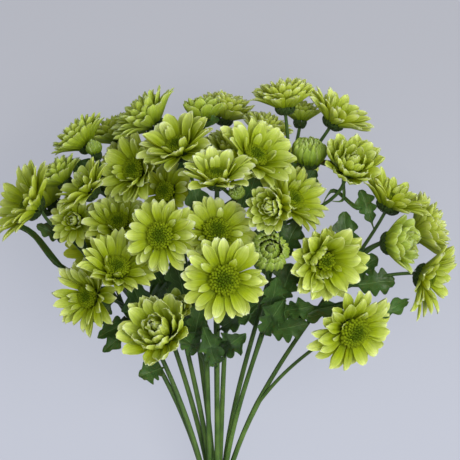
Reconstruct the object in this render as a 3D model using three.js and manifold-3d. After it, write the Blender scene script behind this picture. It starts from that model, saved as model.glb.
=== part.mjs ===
// A bunch of twelve lime-green spray chrysanthemums, held by an elastic band and laid on its back.
// Each spray is one leafy stem with its side stalks, and each bloom on it is a solid of its own.
// Millimetres. +X runs across the bunch, +Y from the cut ends to the blooms, and +Z up from the surface.
// The tables place everything from a point of the surface a little past the band. The whole bunch is then
// centred, so that the origin is the middle of its outline, on the surface.
import * as THREE from "three";
import { mergeVertices } from "three/addons/utils/BufferGeometryUtils.js";
import Module from "manifold-3d";

const wasm = await Module();
wasm.setup();

// Stems and stalks.
const STEM_RADIUS = 1.9;
const FORK_RADIUS = 1.3; // of a side stalk where it leaves its stem
const STALK_RADIUS = 1.15; // of every stalk under its bloom
const STEM_SIDES = 5;
const STALK_SIDES = 4;
const STEM_STEPS = 6;
const STALK_STEPS = 4;
const FAN = 0.45; // how much of a stem's way out of the band is straight towards its bloom
const NOD = 0.5; // how much of its way to its bloom still is, before it turns to the bloom's face
const LEAVING_PULL = 0.4; // how far each of these two carries, as a share of the stalk's length
const ARRIVING_PULL = 0.25;
const NEAREST_TRIES = 40; // places looked at along a stalk to find where a leaf leaves it

// The bundle.
const OUTER_RING = 6.4;
const INNER_RING = 2.45;
const WAIST_PLACE = -16; // of the band along +Y
const WAIST_HEIGHT = 33.5;
const AXIS_RISE = 0.27; // the bunch's axis rises by this much for each millimetre along +Y
const CUT_LENGTH = 91.5; // from the band to the cut ends
const CUT_SPLAY = 1.4; // the bundle is this much wider at its cut ends than at the band
const CUT_STAGGER = 6;

// The elastic band.
const BAND_GAP = 0.45;
const BAND_STRAND = 2.6;
const BAND_THICKNESS = 1.1;
const BAND_TURNS = 3;
const BAND_WIDTH = BAND_STRAND * BAND_TURNS;
const BAND_EDGE = 0.2; // the share of a turn's width that slopes down at each of its edges
const BAND_GROOVE = 0.6; // the band's thickness between two turns, as a share of that on them
const BAND_SEGMENTS = 12;
const STRAIGHT = BAND_WIDTH * 0.7; // how far past the band's middle the stems stay straight

// Where stalk and bloom meet.
const CALYX_SHARE = 0.8; // the green cup under a bloom, as a share of the bloom's core
const CALYX_HEIGHT = 4.5;
const CALYX_BELLY = 0.85; // its radius halfway up, as a share of that at the top
const SEAT_GAP = 0.3;

// Petals are three-sided blades: flat on top, with a keel below.
const CORE_TAPER = 0.16; // how much of the core's radius is lost from each row of petals to the next
const SHOULDER = 0.72; // the widest place of a petal, as a share of its length
const KEEL = 1.2;
const PETAL_FILL = 0.88; // a petal's width, as a share of the room that its row gives it
const ROOT_HEIGHT = 1.8;
const LENGTH_SPREAD = 0.07;
const LIFT_SPREAD = 4;

const LEAF_THICKNESS = 1.1;
const LEAF_ARCH = 0.12;
const LEAF_FOLD = 0.18;
const LEAF_SPREAD = 0.1;
// Stations along a leaf: [share of its length, half width as a share of half the leaf's width].
const LEAF_OUTLINE = [
  [0, 0.14],
  [0.3, 0.68],
  [0.48, 0.48],
  [0.7, 1],
  [0.87, 0.62],
];

// How far open a bloom is: its number of petals in a row, the radius of its core and the height of its disc
// as shares of its reach, and for each row the petals' length as a share of the longest, the lift of their
// lower part from the plane of the bloom and the lift of their tips, in degrees.
const KINDS = {
  open: { petals: 12, core: 0.34, disc: 0.1, rows: [[1, 12, 2], [0.82, 34, 22]] },
  cup: { petals: 10, core: 0.3, disc: 0.06, rows: [[1, 28, 18], [0.84, 50, 44]] },
  bowl: { petals: 10, core: 0.3, disc: 0.06, rows: [[1.12, 38, 26], [0.95, 54, 50]] },
  goblet: { petals: 9, core: 0.28, disc: 0.04, rows: [[1, 36, 26], [0.95, 62, 68]] },
  double: { petals: 8, core: 0.32, disc: 0.08, rows: [[1, 14, 4], [0.84, 40, 32], [0.62, 66, 84]] },
  rose: { petals: 9, core: 0.32, disc: 0.08, rows: [[1.08, 42, 60], [0.9, 56, 82], [0.7, 68, 112]] },
  half: { petals: 8, core: 0.32, disc: 0.1, rows: [[1, 60, 56], [0.86, 76, 92]] },
  bud: { petals: 7, core: 0.42, disc: 0.3, rows: [[1, 70, 104], [0.9, 80, 120]] },
  back: { petals: 7, core: 0.3, disc: 0.06, rows: [[1, 30, 18], [0.84, 56, 50]] },
};

// The sprays. slot is the angle of the stem's place in the bundle, from +X towards +Z. The first bloom ends
// the main stem, and each other one leaves it at the share `from` of the way from the band to the first.
// at is the middle of the bloom's base, face the way it looks, and reach the length from its middle to the
// tip of a flat petal. A stalk with a place in by bends towards it on its way, clear of other blooms. A leaf
// leaves the spray at the place nearest to root, and ends at tip.
const SPRAYS = [
  {
    slot: 80,
    ring: OUTER_RING,
    blooms: [
      { kind: "cup", at: [1.5, 200, 149.5], face: [0, 0.88, 0.47], reach: 27, by: [2, 225, 90] },
      { kind: "open", at: [1, 166, 127], face: [0.08, 0.36, 0.93], reach: 27, from: 0.6 },
      { kind: "open", at: [6.5, 137, 152], face: [0, -0.12, 1], reach: 29, from: 0.42 },
      { kind: "bud", at: [14, 192, 134], face: [0.1, 0.4, 0.9], reach: 9, from: 0.9 },
    ],
    leaves: [
      { root: [2, 70, 75], tip: [-8, 104, 112], width: 18 },
      { root: [3, 80, 80], tip: [20, 100, 118], width: 20 },
      { root: [4, 95, 100], tip: [28, 120, 122], width: 18 },
    ],
  },
  {
    slot: 120,
    ring: OUTER_RING,
    blooms: [
      { kind: "cup", at: [-23, 221, 113], face: [-0.37, 0.73, 0.57], reach: 29, by: [-7, 202, 98] },
      { kind: "open", at: [-34, 165, 138], face: [-0.3, 0.05, 0.95], reach: 26, from: 0.5 },
      { kind: "half", at: [-25, 117, 112], face: [-0.1, 0.2, 1], reach: 15, from: 0.36 },
      { kind: "rose", at: [-34, 100, 134], face: [-0.35, 0.4, 0.85], reach: 30, from: 0.3 },
    ],
    leaves: [
      { root: [-20, 75, 80], tip: [-24, 100, 104], width: 16 },
      { root: [-22, 90, 85], tip: [-8, 122, 104], width: 16 },
      { root: [-22, 110, 90], tip: [-27, 150, 104], width: 22 },
      { root: [-8, 165, 88], tip: [-15, 200, 110], width: 19 },
    ],
  },
  {
    slot: 160,
    ring: OUTER_RING,
    blooms: [
      { kind: "double", at: [-93.5, 175, 77.3], face: [-0.3, 0.05, 0.95], reach: 19 },
      { kind: "cup", at: [-65, 141, 120], face: [0.05, 0.6, 0.8], reach: 29, from: 0.55 },
      { kind: "cup", at: [-82, 125, 100], face: [-0.6, -0.05, 0.8], reach: 27, from: 0.5 },
    ],
    leaves: [
      { root: [-26, 80, 60], tip: [-52, 69, 66], width: 17 },
      { root: [-45, 98, 75], tip: [-80, 96, 82], width: 14 },
      { root: [-45, 98, 75], tip: [-76, 86, 76], width: 12 },
      { root: [-60, 118, 85], tip: [-84, 108, 82], width: 16 },
      { root: [-40, 95, 75], tip: [-56, 134, 92], width: 26 },
    ],
  },
  {
    slot: 140,
    ring: INNER_RING,
    blooms: [
      { kind: "cup", at: [-52, 208, 89.3], face: [-0.55, 0.2, 0.8], reach: 27, by: [-53, 202, 66] },
      { kind: "open", at: [-31, 194, 91], face: [-0.5, 0.15, 0.85], reach: 21, from: 0.7 },
      { kind: "cup", at: [-65, 171, 88.5], face: [-0.1, 0.6, 0.78], reach: 25, from: 0.6 },
      {
        kind: "cup",
        at: [-83, 194, 100],
        face: [-0.72, 0.65, 0.25],
        reach: 24,
        from: 0.5,
        by: [-82, 208, 60],
      },
    ],
    leaves: [
      { root: [-30, 125, 80], tip: [-48, 120, 104], width: 18 },
      { root: [-20, 120, 85], tip: [-42, 142, 98], width: 26 },
    ],
  },
  {
    slot: 200,
    ring: OUTER_RING,
    blooms: [
      { kind: "goblet", at: [-113, 185, 49], face: [-0.6, 0.75, 0], reach: 29 },
      {
        kind: "cup",
        at: [-121, 184, 95],
        face: [-0.82, 0.4, 0.4],
        reach: 32,
        from: 0.8,
        by: [-110, 166, 63],
      },
      {
        kind: "goblet",
        at: [-102, 201, 80],
        face: [-0.6, 0.75, 0.1],
        reach: 21,
        from: 0.75,
        by: [-96, 190, 60],
      },
      { kind: "back", at: [-80, 155, 34], face: [-0.35, 0.1, -0.9], reach: 25, from: 0.55 },
    ],
    leaves: [
      { root: [-92, 140, 50], tip: [-141, 163, 62], width: 7 },
      { root: [-98, 156, 55], tip: [-122, 172, 62], width: 12 },
      { root: [-70, 120, 50], tip: [-96, 134, 60], width: 16 },
    ],
  },
  {
    slot: 240,
    ring: OUTER_RING,
    blooms: [
      { kind: "goblet", at: [-87, 226, 78], face: [-0.66, 0.74, 0.05], reach: 24, by: [-78, 212, 56] },
      { kind: "goblet", at: [-66, 230, 50], face: [-0.4, 0.85, 0], reach: 23, from: 0.8 },
      { kind: "bud", at: [-80, 220, 92], face: [-0.3, 0.9, 0.3], reach: 9, from: 0.78 },
      { kind: "back", at: [-48, 205, 21.8], face: [-0.2, 0.65, -0.7], reach: 26, from: 0.7 },
    ],
    leaves: [
      { root: [-60, 170, 55], tip: [-66, 206, 55], width: 18 },
      { root: [-75, 185, 55], tip: [-99, 216, 64], width: 18 },
    ],
  },
  {
    slot: 260,
    ring: INNER_RING,
    blooms: [
      { kind: "goblet", at: [-41.5, 239, 83], face: [-0.66, 0.74, 0.1], reach: 29.5, by: [-32, 214, 64] },
      { kind: "cup", at: [-60, 216, 66], face: [-0.3, 0.65, 0.7], reach: 17, from: 0.8 },
      { kind: "half", at: [-8, 243, 82], face: [-0.05, 0.98, 0.1], reach: 20, from: 0.75 },
      { kind: "back", at: [0, 160, 26], face: [0, 0.5, -0.85], reach: 24, from: 0.5 },
    ],
    leaves: [
      { root: [-5, 222, 85], tip: [-13, 246, 98], width: 10 },
      { root: [-15, 190, 80], tip: [-12, 230, 92], width: 18 },
    ],
  },
  {
    slot: 280,
    ring: OUTER_RING,
    blooms: [
      { kind: "goblet", at: [6, 245, 50], face: [0.25, 0.93, 0.15], reach: 23.5 },
      { kind: "goblet", at: [32.5, 232, 71], face: [0.25, 0.93, 0.2], reach: 21, from: 0.8 },
      { kind: "back", at: [48, 205, 22.3], face: [0.2, 0.65, -0.7], reach: 26, from: 0.7 },
    ],
    leaves: [
      { root: [5, 90, 40], tip: [-22, 120, 18], width: 22 },
      { root: [12, 110, 40], tip: [40, 118, 22], width: 22 },
    ],
  },
  {
    slot: 320,
    ring: OUTER_RING,
    blooms: [
      { kind: "goblet", at: [47, 251, 92], face: [-0.08, 0.97, 0.2], reach: 25, by: [60, 160, 54] },
      { kind: "goblet", at: [58, 243, 58], face: [0.1, 0.95, 0], reach: 17, from: 0.8 },
      { kind: "cup", at: [80, 242, 80], face: [0.5, 0.78, 0.35], reach: 27, from: 0.76 },
      { kind: "back", at: [77, 146, 34], face: [0.35, 0.1, -0.9], reach: 25, from: 0.5 },
    ],
    leaves: [
      { root: [60, 200, 75], tip: [77, 226, 84], width: 10 },
      { root: [50, 185, 60], tip: [68, 210, 64], width: 18 },
    ],
  },
  {
    slot: 20,
    ring: INNER_RING,
    blooms: [
      { kind: "cup", at: [25, 215, 108], face: [0.42, 0.6, 0.68], reach: 29 },
      { kind: "goblet", at: [8, 219, 90], face: [-0.1, 0.8, 0.55], reach: 20, from: 0.8 },
      { kind: "bud", at: [63, 215, 92], face: [0.1, 0.85, 0.5], reach: 19, from: 0.7 },
      {
        kind: "rose",
        at: [89, 209, 104],
        face: [0.25, 0.5, 0.83],
        reach: 25,
        from: 0.62,
        by: [86, 176, 68],
      },
    ],
    leaves: [
      { root: [60, 200, 80], tip: [50, 219, 92], width: 9 },
      { root: [80, 182, 76], tip: [98, 191, 86], width: 6 },
      { root: [83, 186, 80], tip: [93, 203, 88], width: 4.5 },
      { root: [20, 180, 92], tip: [28, 207, 106], width: 16 },
    ],
  },
  {
    slot: 0,
    ring: OUTER_RING,
    blooms: [
      { kind: "cup", at: [117, 185, 82], face: [0.42, 0.86, 0.28], reach: 29 },
      { kind: "goblet", at: [137, 167, 54], face: [0.88, 0.3, 0.2], reach: 29, from: 0.8 },
      { kind: "cup", at: [140, 138, 76], face: [0.88, -0.3, 0.37], reach: 29, from: 0.62 },
      { kind: "half", at: [116, 160, 100], face: [0.88, 0.05, 0.45], reach: 25, from: 0.7 },
      {
        kind: "open",
        at: [90, 103, 106],
        face: [0.45, -0.4, 0.8],
        reach: 31,
        from: 0.25,
        by: [68, 90, 96],
      },
    ],
    leaves: [
      { root: [84, 150, 75], tip: [87, 181, 90], width: 19 },
      { root: [86, 110, 90], tip: [130, 121, 84], width: 12 },
      { root: [92, 125, 65], tip: [122, 134, 70], width: 20 },
      { root: [80, 135, 70], tip: [110, 150, 82], width: 20 },
      { root: [108, 172, 74], tip: [98, 196, 84], width: 13 },
    ],
  },
  {
    slot: 40,
    ring: OUTER_RING,
    blooms: [
      { kind: "cup", at: [49, 187, 101], face: [0.6, 0.45, 0.65], reach: 27.5, by: [52, 125, 84] },
      { kind: "rose", at: [39, 184, 142], face: [-0.35, -0.05, 0.93], reach: 20, from: 0.7 },
      { kind: "bud", at: [35, 152, 130], face: [0.1, 0.3, 0.95], reach: 22, from: 0.55 },
      { kind: "bowl", at: [72, 149, 116], face: [0.3, -0.2, 0.93], reach: 27, from: 0.5 },
    ],
    leaves: [
      { root: [60, 100, 75], tip: [88, 120, 86], width: 13 },
      { root: [30, 95, 75], tip: [46, 122, 104], width: 18 },
      { root: [40, 110, 85], tip: [66, 118, 98], width: 16 },
      { root: [35, 98, 78], tip: [62, 106, 90], width: 20 },
      { root: [30, 105, 90], tip: [41, 137, 112], width: 18 },
      { root: [45, 112, 90], tip: [52, 146, 96], width: 24 },
      { root: [40, 145, 95], tip: [56, 174, 96], width: 20 },
      { root: [28, 135, 90], tip: [34, 176, 106], width: 22 },
    ],
  },
];

const UP = new THREE.Vector3(0, 0, 1);
const ACROSS = new THREE.Vector3(1, 0, 0);
const AXIS = new THREE.Vector3(0, 1, AXIS_RISE).normalize();

const radians = (degrees) => (degrees * Math.PI) / 180;
const vector = ([x, y, z]) => new THREE.Vector3(x, y, z);

// Repeatable draws in -1..1, from a plain multiplicative generator.
function spreadFrom(seed) {
  const multiplier = 16807;
  const modulus = 2147483647;
  let state = seed * 7919 + 17;
  return () => {
    state = (state * multiplier) % modulus;
    return (state / modulus) * 2 - 1;
  };
}

function geometryOf(positions, faces) {
  const geometry = new THREE.BufferGeometry();
  geometry.setAttribute("position", new THREE.Float32BufferAttribute(positions, 3));
  geometry.setIndex(faces);
  return geometry;
}

function solidOf(geometry) {
  const bare = geometry.clone();
  bare.deleteAttribute("normal");
  bare.deleteAttribute("uv");
  const merged = mergeVertices(bare, 1e-4);
  return new wasm.Manifold(
    new wasm.Mesh({
      numProp: 3,
      vertProperties: new Float32Array(merged.attributes.position.array),
      triVerts: new Uint32Array(merged.index.array),
    }),
  );
}

function geometryFrom(solid) {
  const mesh = solid.getMesh();
  return geometryOf(Array.from(mesh.vertProperties), Array.from(mesh.triVerts));
}

// A closed tube through the points, with a radius at each of them.
function tubeGeometry(points, radii, sides) {
  const positions = [];
  const faces = [];
  let side = new THREE.Vector3();
  points.forEach((point, k) => {
    const before = points[Math.max(k - 1, 0)];
    const after = points[Math.min(k + 1, points.length - 1)];
    const tangent = after.clone().sub(before).normalize();
    if (k === 0) side.crossVectors(tangent, Math.abs(tangent.z) < 0.8 ? UP : ACROSS);
    side.addScaledVector(tangent, -side.dot(tangent)).normalize();
    const other = new THREE.Vector3().crossVectors(tangent, side);
    for (let i = 0; i < sides; i++) {
      const angle = (2 * Math.PI * i) / sides;
      const corner = point
        .clone()
        .addScaledVector(side, Math.cos(angle) * radii[k])
        .addScaledVector(other, Math.sin(angle) * radii[k]);
      positions.push(corner.x, corner.y, corner.z);
    }
  });
  const last = (points.length - 1) * sides;
  for (let i = 0; i < sides; i++) {
    const next = (i + 1) % sides;
    for (let ring = 0; ring < last; ring += sides) {
      faces.push(ring + i, ring + next, ring + sides + next);
      faces.push(ring + i, ring + sides + next, ring + sides + i);
    }
    if (i > 0 && i < sides - 1) {
      faces.push(0, i + 1, i);
      faces.push(last, last + i, last + i + 1);
    }
  }
  return geometryOf(positions, faces);
}

// A leaf with lobed edges: sharp at its edges, folded up a little along its midrib, which is thicker.
function leafGeometry(root, tip, width, seed) {
  const spread = spreadFrom(seed);
  const length = root.distanceTo(tip);
  const middle = root.clone().lerp(tip, 0.5).addScaledVector(UP, length * LEAF_ARCH);
  const rib = new THREE.QuadraticBezierCurve3(root, middle, tip);
  const positions = [];
  const faces = [];
  for (const [share, halfWidth] of LEAF_OUTLINE) {
    const point = rib.getPoint(share);
    const tangent = rib.getTangent(share);
    const side = new THREE.Vector3().crossVectors(tangent, UP).normalize();
    const above = new THREE.Vector3().crossVectors(side, tangent).normalize();
    const half = (halfWidth * width * (1 + LEAF_SPREAD * spread())) / 2;
    const fold = half * LEAF_FOLD;
    const left = point.clone().addScaledVector(side, -half).addScaledVector(above, fold);
    const right = point.clone().addScaledVector(side, half).addScaledVector(above, fold);
    const low = point.clone().addScaledVector(above, -LEAF_THICKNESS);
    for (const corner of [left, point, right, low]) positions.push(corner.x, corner.y, corner.z);
  }
  const tipIndex = LEAF_OUTLINE.length * 4;
  positions.push(tip.x, tip.y, tip.z);
  for (let edge = 0; edge < 4; edge++) {
    const next = (edge + 1) % 4;
    for (let station = 0; station < LEAF_OUTLINE.length - 1; station++) {
      const a = station * 4;
      faces.push(a + edge, a + next, a + 4 + next);
      faces.push(a + edge, a + 4 + next, a + 4 + edge);
    }
    faces.push(tipIndex - 4 + edge, tipIndex - 4 + next, tipIndex);
  }
  faces.push(0, 2, 1, 0, 3, 2);
  return geometryOf(positions, faces);
}

// A bloom: a tapering core, with each row of petals drawn out of one band of its sides.
function bloomGeometry({ kind, reach }, seed) {
  const { petals, core, disc, rows } = KINDS[kind];
  const spread = spreadFrom(seed);
  const coreRadius = core * reach;
  const longest = reach - coreRadius;
  const step = (2 * Math.PI) / petals;
  const positions = [];
  const faces = [];
  const add = (radius, angle, height) => {
    positions.push(radius * Math.cos(angle), radius * Math.sin(angle), height);
    return positions.length / 3 - 1;
  };
  const at = (index) => new THREE.Vector3().fromArray(positions, index * 3);
  const ring = (radius, height, turn) =>
    Array.from({ length: petals }, (_, i) => add(radius, (i + turn) * step, height));

  // The rings of the core. The first two are the roots of the outer petals, square to the way these set
  // out. The third one and those above it are turned by half a step each.
  const lean = radians(rows[0][1]);
  const rings = [
    ring(coreRadius + ROOT_HEIGHT * Math.sin(lean), ROOT_HEIGHT * (1 - Math.cos(lean)), 0),
    ring(coreRadius, ROOT_HEIGHT, 0),
  ];
  for (let row = 1; row < rows.length; row++) {
    rings.push(ring(coreRadius * (1 - CORE_TAPER * row), ROOT_HEIGHT * (1 + row), row / 2));
  }

  // One petal from its root's corners: low and high, on the left and on the right.
  const petal = (lowLeft, lowRight, highRight, highLeft, angle, [share, lift, tipLift]) => {
    const outward = new THREE.Vector3(Math.cos(angle), Math.sin(angle), 0);
    const sideways = new THREE.Vector3(-Math.sin(angle), Math.cos(angle), 0);
    const length = longest * share * (1 + LENGTH_SPREAD * spread());
    const along = (degrees) => {
      const rise = radians(degrees);
      return outward.clone().multiplyScalar(Math.cos(rise)).addScaledVector(UP, Math.sin(rise));
    };
    const turn = LIFT_SPREAD * spread();
    const lower = along(lift + turn);
    const above = new THREE.Vector3().crossVectors(lower, sideways).normalize();
    const shoulder = at(highLeft).lerp(at(highRight), 0.5).addScaledVector(lower, length * SHOULDER);
    const tip = shoulder.clone().addScaledVector(along(tipLift + turn), length * (1 - SHOULDER));
    const half = Math.hypot(shoulder.x, shoulder.y) * Math.sin(step / 2) * PETAL_FILL;
    const put = (point) => {
      positions.push(point.x, point.y, point.z);
      return positions.length / 3 - 1;
    };
    const left = put(shoulder.clone().addScaledVector(sideways, -half));
    const right = put(shoulder.clone().addScaledVector(sideways, half));
    const keel = put(shoulder.clone().addScaledVector(above, -KEEL));
    const end = put(tip);
    faces.push(highLeft, left, right, highLeft, right, highRight);
    faces.push(lowLeft, keel, left, lowLeft, left, highLeft);
    faces.push(lowRight, highRight, right, lowRight, right, keel);
    if (lowLeft !== lowRight) faces.push(lowLeft, lowRight, keel);
    faces.push(left, end, right, left, keel, end, right, end, keel);
  };

  for (let i = 0; i < petals; i++) {
    const next = (i + 1) % petals;
    petal(rings[0][i], rings[0][next], rings[1][next], rings[1][i], (i + 0.5) * step, rows[0]);
    for (let row = 1; row < rows.length; row++) {
      // Petals of this row stand over the corners of the ring below, between the petals of the row before.
      const low = rings[row];
      const high = rings[row + 1];
      const previous = (i + petals - 1) % petals;
      petal(low[i], low[i], high[i], high[previous], (i + (row - 1) / 2) * step, rows[row]);
      faces.push(low[i], low[next], high[i]);
    }
  }

  // The underside and the disc.
  const top = rings[rings.length - 1];
  const topHeight = ROOT_HEIGHT * rows.length;
  const peak = add(0, 0, topHeight + disc * reach);
  const foot = add(0, 0, 0);
  for (let i = 0; i < petals; i++) {
    const next = (i + 1) % petals;
    faces.push(top[i], top[next], peak);
    faces.push(rings[0][next], rings[0][i], foot);
  }
  return geometryOf(positions, faces);
}

// The place of a stem in the bundle, at a distance along its axis from the band.
function bundlePoint({ slot, ring }, along, splay = 1) {
  const angle = radians(slot);
  return new THREE.Vector3(0, WAIST_PLACE, WAIST_HEIGHT)
    .addScaledVector(AXIS, along)
    .addScaledVector(ACROSS, Math.cos(angle) * ring * splay)
    .addScaledVector(new THREE.Vector3().crossVectors(ACROSS, AXIS), Math.sin(angle) * ring * splay);
}

// The end of a stalk: a green cup that widens to carry the bloom.
function calyx(bloom) {
  const face = vector(bloom.face).normalize();
  const seat = vector(bloom.at).addScaledVector(face, -SEAT_GAP);
  const cup = bloom.reach * KINDS[bloom.kind].core * CALYX_SHARE;
  return {
    base: seat.clone().addScaledVector(face, -CALYX_HEIGHT),
    face,
    points: [seat.clone().addScaledVector(face, -CALYX_HEIGHT / 2), seat],
    radii: [cup * CALYX_BELLY, cup],
  };
}

// The line from a start to the foot of a bloom's calyx.
function stalkCurve(start, direction, bloom) {
  const { base, face } = calyx(bloom);
  const length = start.distanceTo(base);
  const straight = base.clone().sub(start).normalize();
  const leaving = direction.clone().lerp(straight, FAN).normalize();
  const arriving = face.clone().lerp(straight, NOD).normalize();
  return new THREE.CubicBezierCurve3(
    start,
    start.clone().addScaledVector(leaving, length * LEAVING_PULL),
    bloom.by ? vector(bloom.by) : base.clone().addScaledVector(arriving, -length * ARRIVING_PULL),
    base,
  );
}

// The solid round a line of stations, from an optional stretch before them to the top of the bloom's calyx.
function stalkSolid(stations, sides, startRadius, bloom, before = []) {
  const end = calyx(bloom);
  const taper = stations.map((_, k) =>
    THREE.MathUtils.lerp(startRadius, STALK_RADIUS, k / (stations.length - 1)),
  );
  const radii = [...before.map(() => startRadius), ...taper, ...end.radii];
  return solidOf(tubeGeometry([...before, ...stations, ...end.points], radii, sides));
}

// The point at a share of the way along a line of stations.
function pointAlong(stations, share) {
  const place = share * (stations.length - 1);
  const k = Math.min(Math.floor(place), stations.length - 2);
  return stations[k].clone().lerp(stations[k + 1], place - k);
}

// The point of several lines that is nearest to a place.
function nearestPoint(lines, place) {
  const points = lines.flatMap((stations) =>
    Array.from({ length: NEAREST_TRIES + 1 }, (_, k) => pointAlong(stations, k / NEAREST_TRIES)),
  );
  return points.reduce((best, point) =>
    point.distanceToSquared(place) < best.distanceToSquared(place) ? point : best,
  );
}

// One leafy stem: the main stem, a stalk to each other bloom, and the leaves, in one piece.
function leafyStem(spray, index) {
  const [first, ...others] = spray.blooms;
  const spread = spreadFrom(index + 1);
  const cutEnd = bundlePoint(spray, -CUT_LENGTH + CUT_STAGGER * spread(), CUT_SPLAY);
  const main = stalkCurve(bundlePoint(spray, STRAIGHT), AXIS, first);
  const lines = [main.getPoints(STEM_STEPS)];
  let solid = stalkSolid(lines[0], STEM_SIDES, STEM_RADIUS, first, [cutEnd, bundlePoint(spray, 0)]);
  for (const bloom of others) {
    const fork = stalkCurve(pointAlong(lines[0], bloom.from), main.getTangent(bloom.from), bloom);
    lines.push(fork.getPoints(STALK_STEPS));
    solid = solid.add(stalkSolid(lines.at(-1), STALK_SIDES, FORK_RADIUS, bloom));
  }
  spray.leaves.forEach(({ root, tip, width }, k) => {
    const shape = leafGeometry(nearestPoint(lines, vector(root)), vector(tip), width, index * 10 + k + 1);
    solid = solid.add(solidOf(shape));
  });
  return geometryFrom(solid);
}

// The elastic band: turns lying side by side round the bundle.
function bandGeometry() {
  const inner = OUTER_RING + STEM_RADIUS + BAND_GAP;
  const half = BAND_WIDTH / 2;
  const profile = [new THREE.Vector2(inner, -half)];
  for (let turn = 0; turn < BAND_TURNS; turn++) {
    const low = -half + turn * BAND_STRAND;
    profile.push(new THREE.Vector2(inner + BAND_THICKNESS, low + BAND_STRAND * BAND_EDGE));
    profile.push(new THREE.Vector2(inner + BAND_THICKNESS, low + BAND_STRAND * (1 - BAND_EDGE)));
    if (turn < BAND_TURNS - 1) {
      profile.push(new THREE.Vector2(inner + BAND_THICKNESS * BAND_GROOVE, low + BAND_STRAND));
    }
  }
  profile.push(new THREE.Vector2(inner, half));
  profile.push(profile[0].clone());
  return new THREE.LatheGeometry(profile, BAND_SEGMENTS);
}

// What would reach below the surface is pressed flat against it.
function restOnSurface(mesh) {
  mesh.updateMatrixWorld(true);
  const bounds = new THREE.Box3().setFromObject(mesh, true);
  if (bounds.min.z >= 0) return;
  const size = bounds.getSize(new THREE.Vector3());
  const middle = bounds.getCenter(new THREE.Vector3());
  const below = new THREE.BoxGeometry(2 * size.x, 2 * size.y, size.z)
    .translate(middle.x, middle.y, -size.z / 2)
    .applyMatrix4(mesh.matrixWorld.clone().invert());
  mesh.geometry = geometryFrom(solidOf(mesh.geometry).subtract(solidOf(below)));
}

const green = new THREE.MeshStandardMaterial({ color: 0x4a6b33, roughness: 0.6, metalness: 0 });
const lime = new THREE.MeshStandardMaterial({ color: 0xa6b944, roughness: 0.55, metalness: 0 });
const rubber = new THREE.MeshStandardMaterial({ color: 0xc9a878, roughness: 0.7, metalness: 0 });

const bunch = new THREE.Group();
SPRAYS.forEach((spray, index) => {
  const name = `spray_${String(index + 1).padStart(2, "0")}`;
  const stem = new THREE.Mesh(leafyStem(spray, index), green);
  stem.name = `${name}_stem`;
  bunch.add(stem);
  spray.blooms.forEach((bloom, k) => {
    const head = new THREE.Mesh(bloomGeometry(bloom, index * 10 + k + 1), lime);
    head.name = `${name}_bloom_${k + 1}`;
    head.position.set(...bloom.at);
    head.quaternion.setFromUnitVectors(UP, vector(bloom.face).normalize());
    bunch.add(head);
  });
});
bunch.children.forEach(restOnSurface);

const band = new THREE.Mesh(bandGeometry(), rubber);
band.name = "elastic_band";
band.position.set(0, WAIST_PLACE, WAIST_HEIGHT);
band.quaternion.setFromUnitVectors(new THREE.Vector3(0, 1, 0), AXIS);
bunch.add(band);

const outline = new THREE.Box3().setFromObject(bunch, true).getCenter(new THREE.Vector3());
bunch.position.set(-outline.x, -outline.y, 0);

export default bunch;
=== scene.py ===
"""A bunch of twelve lime-green spray chrysanthemums that lies on a pale surface, seen from straight above.

The tables are in millimetres, from a point of the surface a little past the elastic band. +X runs across
the bunch, +Y from the cut ends to the flowers, and +Z up. Everything is then moved to the frame's place, in
metres.
"""

import math
import random

import bmesh
import bpy
from mathutils import Matrix, Vector


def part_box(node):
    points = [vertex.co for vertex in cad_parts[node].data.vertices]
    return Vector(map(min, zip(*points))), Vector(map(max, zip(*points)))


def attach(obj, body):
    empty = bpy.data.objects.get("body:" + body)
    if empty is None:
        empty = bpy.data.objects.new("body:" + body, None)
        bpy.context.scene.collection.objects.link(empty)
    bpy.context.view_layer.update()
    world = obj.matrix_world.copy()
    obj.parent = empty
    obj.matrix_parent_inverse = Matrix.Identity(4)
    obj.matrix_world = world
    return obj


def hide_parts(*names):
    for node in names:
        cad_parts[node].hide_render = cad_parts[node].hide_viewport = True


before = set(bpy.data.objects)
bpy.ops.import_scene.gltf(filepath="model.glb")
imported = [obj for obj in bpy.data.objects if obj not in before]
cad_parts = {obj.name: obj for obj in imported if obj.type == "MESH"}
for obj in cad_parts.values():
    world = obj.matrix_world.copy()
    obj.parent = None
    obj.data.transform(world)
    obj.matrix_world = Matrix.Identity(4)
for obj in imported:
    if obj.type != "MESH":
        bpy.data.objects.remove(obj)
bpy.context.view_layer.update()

MM = 0.001
UP = Vector((0, 0, 1))
ACROSS = Vector((1, 0, 0))
radians = math.radians

# ---- The bunch ----

STEM_RADIUS = 1.9
FORK_RADIUS = 1.3
STALK_RADIUS = 1.15

# A stalk leaves between its stem's way and the straight line to its flower head, and arrives between that
# line and the way that the head faces. Its pulls are shares of its length.
FAN = 0.45
NOD = 0.5
LEAVING_PULL = 0.4
ARRIVING_PULL = 0.25

# The stems stand in two rings round the axis of the bundle. The band holds them at its waist, and beyond it
# they spread to both sides.
OUTER_RING = 6.4
INNER_RING = 2.45
WAIST = Vector((0, -16, 33.5))
AXIS = Vector((0, 1, 0.27)).normalized()
CUT_LENGTH = 91.5
CUT_SPLAY = 1.4
CUT_STAGGER = 6

BAND_GAP = 0.45
BAND_STRAND = 2.6
BAND_THICKNESS = 1.1
BAND_TURNS = 3
STRAIGHT = BAND_STRAND * BAND_TURNS * 0.7

# The cup under a flower head, with its radius as a share of the head's core.
CUP_SHARE = 0.8
CUP_HEIGHT = 4.5
SEAT_GAP = 0.3

# The heights of a head's rings are counted in root heights, and each ring stands this share of one higher.
ROOT_HEIGHT = 1.8
RING_RISE = 0.7


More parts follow.
